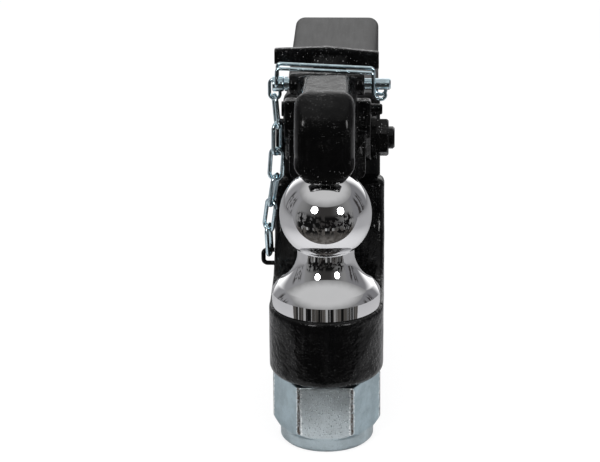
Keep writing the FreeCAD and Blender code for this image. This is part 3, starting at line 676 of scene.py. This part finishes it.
class Graph(Tree):
    """Geometry node tree with named inputs for its sizes."""

    def __init__(self, name, sizes):
        self.group = bpy.data.node_groups.new(name, "GeometryNodeTree")
        super().__init__(self.group)
        face = self.group.interface
        face.new_socket("Geometry", in_out="INPUT", socket_type="NodeSocketGeometry")
        face.new_socket("Geometry", in_out="OUTPUT", socket_type="NodeSocketGeometry")
        self.names = {}
        for title, value in sizes.items():
            kind = "NodeSocketInt" if isinstance(value, int) else "NodeSocketFloat"
            socket = face.new_socket(title, in_out="INPUT", socket_type=kind)
            socket.default_value = value
            self.names[title] = socket.identifier
        self.entry = self.nodes.new("NodeGroupInput")

    def given(self, title):
        """Field of a named input."""
        return Field(self, self.entry.outputs[title])

    def end(self, geometry, material):
        """Realize, smooth and paint the result."""
        whole = self.add("GeometryNodeRealizeInstances", None, {"Geometry": geometry})
        soft = self.add("GeometryNodeSetShadeSmooth", None, {0: whole})
        painted = self.add("GeometryNodeSetMaterial", None, {
            "Geometry": soft, "Material": material})
        self.add("NodeGroupOutput", None, {"Geometry": painted})

    def run(self, mesh, name, values):
        """Plain mesh that the tree makes of a mesh, with some sizes changed."""
        piece = new_object(name, mesh)
        modifier = piece.modifiers.new(name, "NODES")
        modifier.node_group = self.group
        for title, value in values.items():
            modifier[self.names[title]] = value
        return evaluated_mesh(piece, name)


def wire_graph(material):
    """Round wire along the edges of a mesh path, its corners bent to a radius."""
    graph = Graph("bent wire", {"Wire radius": 1.0 * MM, "Bend radius": 2.0 * MM, "Sides": 20})
    path = graph.add("GeometryNodeMeshToCurve", None, {
        "Mesh": graph.given("Geometry")})
    bent = graph.add("GeometryNodeFilletCurve", {"mode": "POLY"}, {
        "Curve": path, "Count": 8, "Radius": graph.given("Bend radius"), "Limit Radius": True})
    section = graph.add("GeometryNodeCurvePrimitiveCircle", None, {
        "Resolution": graph.given("Sides"), "Radius": graph.given("Wire radius")})
    wire = graph.add("GeometryNodeCurveToMesh", None, {
        "Curve": bent, "Profile Curve": section, "Fill Caps": True})
    graph.end(wire, material)
    return graph


def path_mesh(points, closed=False):
    """Mesh of edges from point to point."""
    edges = [(i, i + 1) for i in range(len(points) - 1)]
    if closed:
        edges.append((len(points) - 1, 0))
    mesh = bpy.data.meshes.new("path")
    mesh.from_pydata([tuple(p) for p in points], edges, [])
    return mesh


def loose_parts(node):
    """Vertices of each separate solid of a node, as arrays in the mesh's own order."""
    work = bmesh.new()
    work.from_mesh(merged_copy(node))
    seen, parts = set(), []
    for first in work.verts:
        if first in seen:
            continue
        seen.add(first)
        stack, part = [first], []
        while stack:
            vert = stack.pop()
            part.append(vert)
            for edge in vert.link_edges:
                other = edge.other_vert(vert)
                if other not in seen:
                    seen.add(other)
                    stack.append(other)
        parts.append(np.array([v.co for v in part]))
    work.free()
    return parts


# What a user would change

class HitchFinish(bpy.types.PropertyGroup):
    """Colours and surface relief of the hitch's finishes."""

    paint: bpy.props.FloatVectorProperty(
        name="Paint", description="Gloss paint on the forgings", subtype="COLOR",
        size=3, min=0, max=1, default=(0.0018, 0.0018, 0.0019))
    satin: bpy.props.FloatVectorProperty(
        name="Satin coat", description="Coat on shank and backing plate", subtype="COLOR",
        size=3, min=0, max=1, default=(0.015, 0.015, 0.0155))
    chrome: bpy.props.FloatVectorProperty(
        name="Chrome", description="Plating of the ball", subtype="COLOR",
        size=3, min=0, max=1, default=(0.80, 0.80, 0.81))
    zinc: bpy.props.FloatVectorProperty(
        name="Zinc", description="Plating of nut, pin, bail and chain", subtype="COLOR",
        size=3, min=0, max=1, default=(0.52, 0.65, 0.71))
    peel: bpy.props.FloatProperty(
        name="Orange peel", description="Relief of the paint's skin", default=1.0, min=0, max=3)
    specks: bpy.props.FloatProperty(
        name="Beads", description="Relief of small hard beads in the paint", default=0.9,
        min=0, max=3)


class HitchSkin(bpy.types.PropertyGroup):
    """Fineness of the painted skins and roundness of the wires."""

    body_voxel: bpy.props.FloatProperty(
        name="Body skin", description="Mesh width of the forged body's skin", default=0.0008,
        min=0.0003, precision=4, unit="LENGTH")
    jaw_voxel: bpy.props.FloatProperty(
        name="Jaw skin", description="Mesh width of the jaw's skin", default=0.0006,
        min=0.0003, precision=4, unit="LENGTH")
    swell: bpy.props.FloatProperty(
        name="Unevenness", description="Height of the forging's unevenness", default=0.00012,
        min=0, precision=5, unit="LENGTH")
    link_wire: bpy.props.FloatProperty(
        name="Link wire", description="Radius of the chain's wire", default=0.0012,
        min=0.0005, precision=4, unit="LENGTH")


class HitchStudio(bpy.types.PropertyGroup):
    """Camera and light."""

    azimuth: bpy.props.FloatProperty(
        name="Azimuth", description="Camera's turn to the object's right", subtype="ANGLE",
        default=math.radians(1.95))
    elevation: bpy.props.FloatProperty(
        name="Elevation", description="Camera's height above the horizon", subtype="ANGLE",
        default=math.radians(20.45))
    roll: bpy.props.FloatProperty(
        name="Roll", description="Camera's turn about its view", subtype="ANGLE",
        default=math.radians(-0.38))
    distance: bpy.props.FloatProperty(
        name="Distance", description="Camera to the ball's centre", default=1.69, min=0.5,
        unit="LENGTH")
    focal_pixels: bpy.props.FloatProperty(
        name="Focal length", description="Focal length in the photograph's pixels",
        default=3080.0, min=500.0)
    lamp_power: bpy.props.FloatProperty(
        name="Round lamps", description="Power of each round lamp in front", default=7.5, min=0)


def settings():
    """The three property groups of the scene."""
    scene = bpy.context.scene
    return scene.hitch_finish, scene.hitch_skin, scene.hitch_studio


def stock(name, make):
    """Material by name, made the first time it is asked for."""
    return bpy.data.materials.get(name) or make(name)


def paint_material():
    """Gloss paint of the forgings."""
    finish = settings()[0]
    return stock("gloss_paint", lambda name: gloss_paint(
        name, finish.paint, finish.peel, finish.specks))


def satin_material():
    """Satin coat of shank and plate."""
    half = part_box("shank")[1].x
    return stock("satin_coat", lambda name: satin_coat(name, settings()[0].satin, half))


def zinc_material():
    """Zinc of pin, bail and chain."""
    return stock("zinc_wire", lambda name: zinc_plate(name, settings()[0].zinc, 0.5 * MM, 0.05))


def paint_node(node, material):
    """Give a carried-over node its finish."""
    paint_mesh(NODES[node].data, material)


# Operators

class HITCH_OT_forgings(bpy.types.Operator):
    """Forged body, jaw and latch lever under thick gloss paint"""
    bl_idname = "hitch.forgings"
    bl_label = "Forgings"

    def execute(self, context):
        skin = settings()[1]
        paint = paint_material()
        for node, body, voxel, rounds, reshape in (
                ("hook_body", "hook", skin.body_voxel, BODY_ROUNDS, None),
                ("upper_jaw", "jaw", skin.jaw_voxel, JAW_ROUNDS, fuller_nose),
                ("latch_lever", "latch", skin.jaw_voxel * LATCH_SHARE, LATCH_ROUNDS,
                 taller_handle)):
            mesh = softened_copy(node, voxel, rounds, skin.swell, reshape)
            place_object(node + "_skin", mesh, body, paint, (node,))
        return {"FINISHED"}


class HITCH_OT_ball(bpy.types.Operator):
    """Chromed ball with its flared neck, flange and stud"""
    bl_idname = "hitch.ball"
    bl_label = "Ball"

    def execute(self, context):
        top = math.sqrt(BALL_RADIUS ** 2 - BALL_FLAT ** 2)
        neck = -math.sqrt(BALL_RADIUS ** 2 - NECK_RADIUS ** 2)
        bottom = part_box("hitch_ball")[0].z / MM
        edge = FLANGE_EDGE_ROUND
        profile = [(0.0, top), (BALL_FLAT - FLAT_EDGE_WIDTH, top)]
        profile += arc((BALL_FLAT, top - FLAT_EDGE_DROP), (BALL_RADIUS, 0.0),
                       (NECK_RADIUS, neck), BALL_STEPS)
        profile += [(NECK_RADIUS, neck - NECK_STRAIGHT[0]),
                    (NECK_RADIUS, NECK_END + NECK_STRAIGHT[1])]
        profile += arc((NECK_RADIUS, NECK_END), FLARE[0], FLARE[1], FLARE_STEPS)
        profile += arc(FLARE[1], SHOULDER[0], SHOULDER[1], SHOULDER_STEPS)
        profile += [(FLANGE_RADIUS, SHOULDER[1][1] - FLANGE_BAND),
                    (FLANGE_RADIUS, SEAT_Z + edge + FLANGE_BAND),
                    (FLANGE_RADIUS, SEAT_Z + edge),
                    (FLANGE_RADIUS - edge * ROUND_MIDDLE, SEAT_Z + edge * ROUND_MIDDLE),
                    (FLANGE_RADIUS - edge, SEAT_Z),
                    (STUD_RADIUS + STUD_ROOT_WIDTH, SEAT_Z),
                    (STUD_RADIUS, SEAT_Z - STUD_ROOT_DROP),
                    (STUD_RADIUS, bottom + STUD_END_CHAMFER),
                    (STUD_RADIUS - STUD_END_CHAMFER, bottom),
                    (0.0, bottom)]
        mesh = lathe(profile, BALL_SIDES, upright)
        sharpen(mesh, BALL_SHARP)
        chrome = stock("chrome_plate", lambda name: chrome_plate(name, settings()[0].chrome))
        place_object("chromed_ball", mesh, "hook", chrome, ("hitch_ball",))
        return {"FINISHED"}


class HITCH_OT_nut(bpy.types.Operator):
    """Large zinc lock nut and its locking ring"""
    bl_idname = "hitch.nut"
    bl_label = "Lock nut"

    def execute(self, context):
        finish = settings()[0]
        zinc = stock("nut_zinc", lambda name: nut_zinc(name, finish.zinc, NUT_LIT_FACE, NUT_CORNER_SHADE))
        mesh = softened_copy("ball_nut", NUT_VOXEL, NUT_ROUNDS, 0.0)
        place_object("zinc_nut", mesh, "hook", zinc, ("ball_nut",))
        paint_node("nut_insert", stock("nylon", lambda name: nylon(name, LOCK_RING)))
        return {"FINISHED"}


class HITCH_OT_shank(bpy.types.Operator):
    """Square shank, backing plate and the weld between them"""
    bl_idname = "hitch.shank"
    bl_label = "Shank"

    def execute(self, context):
        for node in ("shank", "backing_plate", "shank_weld"):
            paint_node(node, satin_material())
        return {"FINISHED"}


class HITCH_OT_fasteners(bpy.types.Operator):
    """Pivot bolt, washer, nut and latch pin"""
    bl_idname = "hitch.fasteners"
    bl_label = "Fasteners"

    def execute(self, context):
        for node in ("jaw_bolt", "bolt_washer", "bolt_nut", "latch_pin"):
            paint_node(node, paint_material())
        steel = stock("spring_wire", lambda name: spring_wire(name, SPRING_STEEL))
        paint_node("latch_spring", steel)
        return {"FINISHED"}


class HITCH_OT_wires(bpy.types.Operator):
    """Lock pin with its eye, the bail, the chain and its staple"""
    bl_idname = "hitch.wires"
    bl_label = "Pin, bail and chain"

    def execute(self, context):
        zinc = zinc_material()
        wire = wire_graph(zinc)
        self.lock_pin(wire, zinc)
        self.bail(wire)
        self.chain(wire)
        self.staple(wire)
        paint_node("pin_collar", zinc)
        return {"FINISHED"}

    def lock_pin(self, wire, zinc):
        """Turned pin and head with the wire eye on its end."""
        pivot = Vector(JOINTS["bail_swing"]["pos_m"])
        head_left, head_right = PIN_HEAD
        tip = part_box("lock_pin")[1].x / MM

        def along(radius, turn, height):
            return Vector((height * MM, pivot.y + radius * MM * math.cos(turn),
                           pivot.z + radius * MM * math.sin(turn)))

        r, wide = PIN_HEAD_ROUND, PIN_HEAD_RADIUS
        near, inner = r * ROUND_MIDDLE, wide - r
        profile = [(0.0, head_left), (inner - PIN_ROOT, head_left)]
        profile += arc((inner, head_left), (wide - near, head_left + near),
                       (wide, head_left + r), PIN_STEPS)
        profile += [(wide, head_right - r)]
        profile += arc((wide, head_right - r), (wide - near, head_right - near),
                       (inner, head_right), PIN_STEPS)
        profile += [(PIN_RADIUS + PIN_ROOT, head_right), (PIN_RADIUS, head_right + PIN_ROOT),
                    (PIN_RADIUS, tip - PIN_TIP_CHAMFER), (PIN_RADIUS - PIN_TIP_CHAMFER, tip),
                    (0.0, tip)]
        pin = lathe(profile, PIN_SIDES, along)
        centre = Vector(((head_left - EYE_HALF_WIDTH + EYE_OVERLAP) * MM, pivot.y,
                         pivot.z - EYE_DROP * MM))
        corners = [centre + Vector((sx * EYE_HALF_WIDTH, 0, sz * EYE_HALF_HEIGHT)) * MM
                   for sx, sz in ((-1, -1), (1, -1), (1, 1), (-1, 1))]
        eye = wire.run(path_mesh(corners, closed=True), "eye", {
            "Wire radius": EYE_WIRE * MM, "Bend radius": EYE_HALF_WIDTH * MM})
        mesh = joined([pin, eye], "pin_and_eye")
        sharpen(mesh, PIN_SHARP)
        place_object("zinc_pin", mesh, "locking_pin", zinc, ("lock_pin",))

    def bail(self, wire):
        """One spring wire: down, through the head and up again."""
        pivot = Vector(JOINTS["bail_swing"]["pos_m"])
        halves = []
        for side in (-1, 1):
            places = [(0, side * BAIL_PIVOT_SPREAD, 0)]
            places += [(x, side * BAIL_SPREAD, z) for x, z in BAIL_SIDE]
            halves.append([pivot + Vector(place) * MM for place in places])
        mesh = wire.run(path_mesh(halves[0][::-1] + halves[1]), "bail", {
            "Wire radius": BAIL_WIRE * MM, "Bend radius": BAIL_BEND * MM})
        place_object("bail_wire", mesh, "pin_bail", None, ("bail",))

    def chain(self, wire):
        """Links that lie where the frame has them."""
        thick = settings()[1].link_wire
        links = []
        for part in loose_parts("chain"):
            middle = part.mean(0)
            axes = np.linalg.eigh(np.cov((part - middle).T))[1]
            along, side = axes[:, 2], axes[:, 1]
            half, wide = (np.ptp((part - middle) @ axis) / 2 - thick for axis in (along, side))
            corners = [Vector(middle + along * (a * half) + side * (b * wide))
                       for a, b in ((-1, -1), (1, -1), (1, 1), (-1, 1))]
            links.append(wire.run(path_mesh(corners, closed=True), "link", {
                "Wire radius": thick, "Bend radius": wide}))
        place_object("chain_links", joined(links, "chain_links"), "hook", zinc_material(),
                     ("chain",))

    def staple(self, wire):
        """Bent wire welded to the arm's side."""
        low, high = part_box("chain_staple")
        middle, root = (low + high) / 2, high.x
        out = root - STAPLE_REACH * MM
        points = [Vector((x, middle.y, middle.z + side * STAPLE_HALF * MM))
                  for x, side in ((root, 1), (out, 1), (out, -1), (root, -1))]
        mesh = wire.run(path_mesh(points), "staple", {
            "Wire radius": STAPLE_WIRE * MM, "Bend radius": STAPLE_BEND * MM})
        place_object("staple_wire", mesh, "hook", paint_material(),
                     ("chain_staple",))


class HITCH_OT_studio(bpy.types.Operator):
    """Pale floor, soft light and the photograph's camera"""
    bl_idname = "hitch.studio"
    bl_label = "Studio"

    def execute(self, context):
        self.floor()
        self.world()
        self.lamps()
        self.camera()
        context.scene.view_settings.view_transform = "Standard"
        return {"FINISHED"}

    def floor(self):
        """Wide pale disc under the nut, which shows white and keeps the shadow; to other rays than
        the camera's it is painted lighter near the object and darker farther out, a painted pool
        of light.
        """
        height = CAD_BOX[0].z
        mesh = bpy.data.meshes.new("floor")
        work = bmesh.new()
        bmesh.ops.create_circle(work, cap_ends=True, segments=FLOOR_SIDES, radius=FLOOR_RADIUS)
        bmesh.ops.translate(work, verts=work.verts, vec=(0, 0, height))
        work.to_mesh(mesh)
        work.free()
        floor = new_object("floor", mesh)

        def build(tree):
            seen = tree.add("ShaderNodeLightPath", output="Is Camera Ray")
            point = tree.object_point()
            y = tree.axis(point, "Y")
            away = tree.add("ShaderNodeVectorMath", {"operation": "LENGTH"}, {0: point},
                            output="Value")
            # Painted pool of light: for other rays than the camera's, the floor is painted lighter
            # near the object and darker farther out
            far = tree.blend(y.ramp(0.0, 0.20), rgba((0.37, 0.37, 0.38)), rgba((0.40, 0.40, 0.41)))
            tint = tree.blend(away.ramp(0.15, 0.34), rgba((0.74, 0.74, 0.75)), far)
            board = tree.add("ShaderNodeBsdfDiffuse", None, {
                "Color": tree.blend(seen, tint, rgba((0.84, 0.84, 0.85)))})
            white = tree.add("ShaderNodeEmission", None, {
                "Color": rgba((1.0, 1.0, 1.0)), "Strength": 1.1})
            shown = tree.add("ShaderNodeMixShader", None, {0: seen * 0.78, 1: board, 2: white})
            gone = tree.add("ShaderNodeBsdfTransparent")
            kept = y.ramp(FLOOR_EDGE - FLOOR_EDGE_WIDTH, FLOOR_EDGE).maths("MAXIMUM", seen)
            return tree.add("ShaderNodeMixShader", None, {0: kept, 1: gone, 2: shown})

        mesh.materials.append(surface_material("pale_floor", build))

    def world(self):
        """A dim room with clutter in front, grey sides, white sheets behind, a pale ceiling."""
        world = bpy.data.worlds.new("studio")
        bpy.context.scene.world = world
        world.use_nodes = True
        tree = Tree(world.node_tree)
        way = tree.add("ShaderNodeTexCoord", output="Generated")
        x, y, z = (tree.axis(way, name) for name in "XYZ")
        turn = x.maths("ARCTAN2", y * -1.0)
        aside = turn.maths("ABSOLUTE")
        soft = tree.noise(way, 0.35, 2.0)
        clutter = tree.noise(way, 0.17, 3.0, 0.6)
        bars = tree.add("ShaderNodeTexNoise", {"noise_dimensions": "1D"}, {
            "W": turn, "Scale": 4.5, "Detail": 3.0, "Roughness": 0.75})
        wall = tree.blend(aside.ramp(0.20, 1.30), rgba((0.040, 0.038, 0.037)),
                          rgba((0.25, 0.25, 0.25)))
        ground = tree.blend(clutter.ramp(0.35, 0.65), rgba((0.06, 0.055, 0.05)),
                            rgba((0.17, 0.16, 0.15)))
        room = tree.blend(z.fall(-0.42, -0.22), wall, ground)
        low_band = z.ramp(-0.80, -0.45) * z.fall(0.12, 0.30) * aside.fall(1.15, 1.40)
        things = (clutter * 0.6 + bars * 0.4).ramp(0.47, 0.50) * low_band
        stands = bars.ramp(0.56, 0.59) * z.ramp(-0.42, -0.40) * z.fall(-0.31, -0.29)
        filled = tree.blend(things, room, rgba((0.006, 0.006, 0.006)))
        front = tree.blend(stands * 0.8, filled, rgba((0.50, 0.50, 0.50)))
        bare = tree.blend(x.ramp(-0.6, 0.6), rgba((0.30, 0.30, 0.31)), rgba((0.22, 0.22, 0.23)))
        shelf = (z.ramp(-0.26, -0.16) * z.fall(0.38, 0.55)
                 * aside.ramp(1.55, 1.70) * aside.fall(2.0, 2.15))
        stacked = (bars * 0.6 + clutter * 0.4).ramp(0.475, 0.50) * shelf
        sides = tree.blend(stacked * 0.9, bare, rgba((0.02, 0.017, 0.015)))
        back = tree.blend(aside.ramp(2.35, 2.75), sides, rgba((1.50, 1.50, 1.50)))
        walls = tree.blend((aside + soft * 0.15).ramp(1.32, 1.55), front, back)
        ceiling = tree.blend((z + soft * 0.1).ramp(0.58, 0.90), rgba((0.27, 0.27, 0.27)),
                             rgba((0.62, 0.62, 0.62)))
        around = tree.blend(z.ramp(0.575, 0.595) * y.fall(0.62, 0.80), walls, ceiling)
        camera = tree.add("ShaderNodeLightPath", output="Is Camera Ray")
        shown = tree.blend(camera, around, rgba((1.0, 1.0, 1.0)))
        background = tree.add("ShaderNodeBackground", None, {"Color": shown, "Strength": 1.0})
        tree.add("ShaderNodeOutputWorld", None, {"Surface": background})

    def lamps(self):
        """Two round lamps before the object, left and right of the camera, and a sheet above."""
        for name, azimuth, elevation, width, share in LAMPS:
            data = bpy.data.lights.new(name, "AREA")
            data.shape = "DISK"
            data.size = width
            data.energy = settings()[2].lamp_power * share
            lamp = new_object(name, data)
            lamp.visible_glossy = name.startswith("round")
            back = toward(math.radians(azimuth), math.radians(elevation))
            lamp.location = back * LAMP_DISTANCE
            lamp.rotation_euler = (-back).to_track_quat("-Z", "Y").to_euler()

    def camera(self):
        """Camera where the photograph's was."""
        studio = settings()[2]
        back = toward(studio.azimuth, studio.elevation)
        right = Vector((math.cos(studio.azimuth), math.sin(studio.azimuth), 0.0))
        up = back.cross(right)
        look = Matrix((right, up, back)).transposed()
        yaw = math.atan2(BALL_AT[0] - PHOTO_WIDTH / 2, studio.focal_pixels)
        pitch = math.atan2(PHOTO_HEIGHT / 2 - BALL_AT[1], studio.focal_pixels)
        look = (look @ Matrix.Rotation(yaw, 3, "Y") @ Matrix.Rotation(-pitch, 3, "X")
                @ Matrix.Rotation(studio.roll, 3, "Z"))
        data = bpy.data.cameras.new("camera")
        data.sensor_width = SENSOR_WIDTH
        data.lens = studio.focal_pixels / PHOTO_WIDTH * data.sensor_width
        data.clip_start, data.clip_end = CLIP
        camera = new_object("camera", data)
        camera.matrix_world = Matrix.Translation(back * studio.distance) @ look.to_4x4()
        bpy.context.scene.camera = camera


class HITCH_PT_panel(bpy.types.Panel):
    """Sizes, colours and steps of the hitch"""
    bl_idname = "HITCH_PT_panel"
    bl_label = "Combination hitch"
    bl_space_type = "VIEW_3D"
    bl_region_type = "UI"
    bl_category = "Hitch"

    def draw(self, context):
        for group in settings():
            box = self.layout.box()
            for name in group.__annotations__:
                box.prop(group, name)
        for step in STEPS:
            self.layout.operator(step.bl_idname)


STEPS = (HITCH_OT_forgings, HITCH_OT_ball, HITCH_OT_nut, HITCH_OT_shank, HITCH_OT_fasteners,
         HITCH_OT_wires, HITCH_OT_studio)
GROUPS = {"hitch_finish": HitchFinish, "hitch_skin": HitchSkin, "hitch_studio": HitchStudio}


def register():
    """Register the classes and hang the property groups on the scene."""
    for cls in (*GROUPS.values(), *STEPS, HITCH_PT_panel):
        bpy.utils.register_class(cls)
    for name, group in GROUPS.items():
        setattr(bpy.types.Scene, name, bpy.props.PointerProperty(type=group))


def unregister():
    """Undo register."""
    for name in GROUPS:
        delattr(bpy.types.Scene, name)
    for cls in (HITCH_PT_panel, *reversed(STEPS), *GROUPS.values()):
        bpy.utils.unregister_class(cls)


def main():
    """Build every piece and the studio."""
    register()
    for step in STEPS:
        group, name = step.bl_idname.split(".")
        getattr(getattr(bpy.ops, group), name)()


if __name__ == "__main__":
    main()
